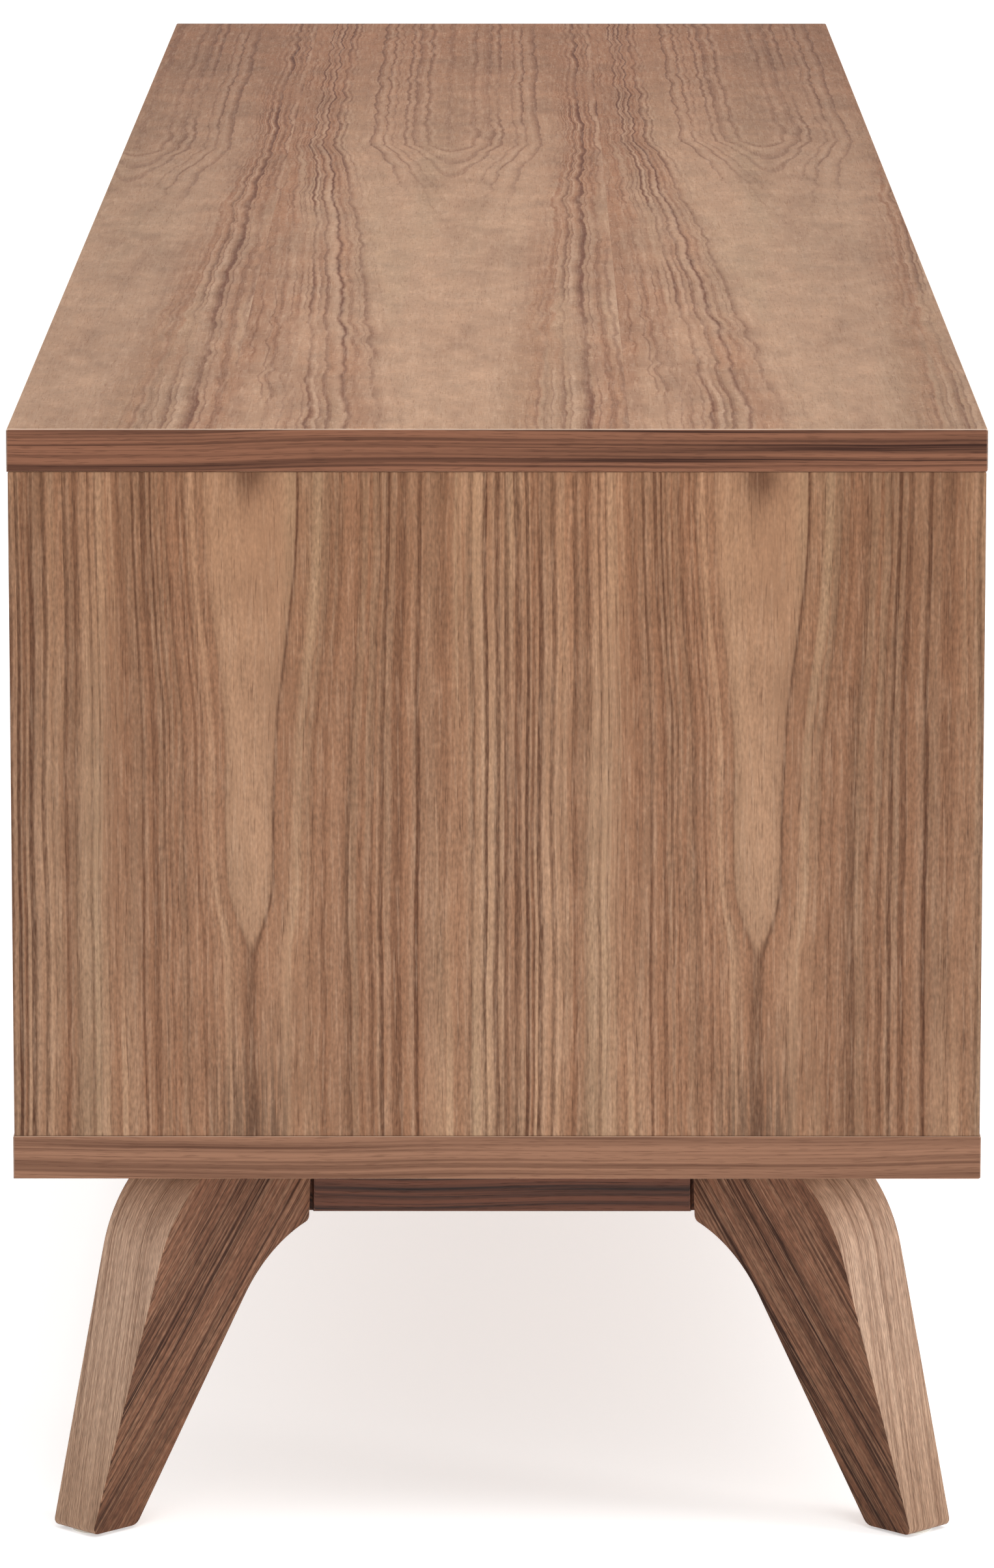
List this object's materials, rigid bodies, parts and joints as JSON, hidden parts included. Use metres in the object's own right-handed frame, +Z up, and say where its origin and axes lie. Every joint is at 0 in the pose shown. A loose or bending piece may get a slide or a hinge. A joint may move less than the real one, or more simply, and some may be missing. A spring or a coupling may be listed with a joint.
{
  "type": "television console cabinet",
  "caption": "Long low walnut-veneered console for a television, with pivot-hung doors, an open bay over a drawer, and boomerang board legs splayed at 45 degrees on a railed frame.",
  "frame": {"origin": "on the floor, under the middle of the cabinet", "axes": "+X along the length to the right as seen from the front, +Y from the front to the back, +Z up"},
  "size_m": [1.8, 0.4, 0.47],
  "materials": {
    "walnut_veneer": "satin",
    "solid_walnut": "satin",
    "dark_walnut": "satin",
    "backing_board": "matte",
    "pale_birch": "matte",
    "zinc_steel": "bright zinc",
    "brass": "turned",
    "pale_nylon": "matte",
    "brown_plastic": "matte",
    "magnet": "ground"
  },
  "bodies": {
    "cabinet": {"top_board": "walnut_veneer", "bottom_board": "walnut_veneer", "right_end_panel": "walnut_veneer", "left_end_panel": "walnut_veneer", "right_divider": "walnut_veneer", "left_divider": "walnut_veneer", "back_panel": "backing_board", "fixed_shelf": "walnut_veneer", "right_loose_shelf": "walnut_veneer", "left_loose_shelf": "walnut_veneer", "shelf_pins": "zinc_steel", "wood_dowels": "pale_birch", "cam_locks": "zinc_steel", "cam_bolts": "zinc_steel", "cable_grommets": "brown_plastic", "back_screws": "zinc_steel", "front_right_leg": "solid_walnut", "front_left_leg": "solid_walnut", "rear_right_leg": "solid_walnut", "rear_left_leg": "solid_walnut", "right_end_rail": "dark_walnut", "left_end_rail": "dark_walnut", "front_rail": "dark_walnut", "rear_rail": "dark_walnut", "cross_rail": "dark_walnut", "corner_brackets": "zinc_steel", "leg_bolts": "zinc_steel", "leg_bolt_nuts": "zinc_steel", "bracket_screws": "zinc_steel", "frame_screws": "zinc_steel", "foot_glides": "pale_nylon", "pivot_bushes": "brass", "pivot_washers": "pale_nylon", "catch_housings": "pale_nylon", "catch_magnets": "magnet", "catch_screws": "zinc_steel", "right_outer_slide": "zinc_steel", "left_outer_slide": "zinc_steel", "slide_screws": "zinc_steel"},
    "right_door": {"right_door": "walnut_veneer", "right_pivot_pins": "zinc_steel", "right_strike_plate": "zinc_steel", "right_strike_screws": "zinc_steel"},
    "left_door": {"left_door": "walnut_veneer", "left_pivot_pins": "zinc_steel", "left_strike_plate": "zinc_steel", "left_strike_screws": "zinc_steel"},
    "drawer": {"drawer_front": "walnut_veneer", "drawer_inner_front": "pale_birch", "drawer_right_side": "pale_birch", "drawer_left_side": "pale_birch", "drawer_back": "pale_birch", "drawer_bottom": "pale_birch", "right_inner_slide": "zinc_steel", "left_inner_slide": "zinc_steel", "drawer_screws": "zinc_steel"},
    "slide_middles": {"right_middle_slide": "zinc_steel", "left_middle_slide": "zinc_steel"}
  },
  "joints": [
    {"name": "right_door_hinge", "type": "hinge", "parent": "cabinet", "child": "right_door", "pos_m": [0.8705, -0.189, 0.3135], "axis": [0, 0, 1], "range_deg": [0, 90]},
    {"name": "left_door_hinge", "type": "hinge", "parent": "cabinet", "child": "left_door", "pos_m": [-0.8705, -0.189, 0.3135], "axis": [0, 0, -1], "range_deg": [0, 90]},
    {"name": "drawer_slide", "type": "slide", "parent": "cabinet", "child": "drawer", "axis": [0, -1, 0], "range_m": [0, 0.33]},
    {"name": "middle_slide", "type": "slide", "parent": "cabinet", "child": "slide_middles", "axis": [0, -1, 0], "range_m": [0, 0.165]}
  ],
  "couplings": [
    {"joint": "middle_slide", "follows": "drawer_slide", "ratio": 0.5}
  ]
}
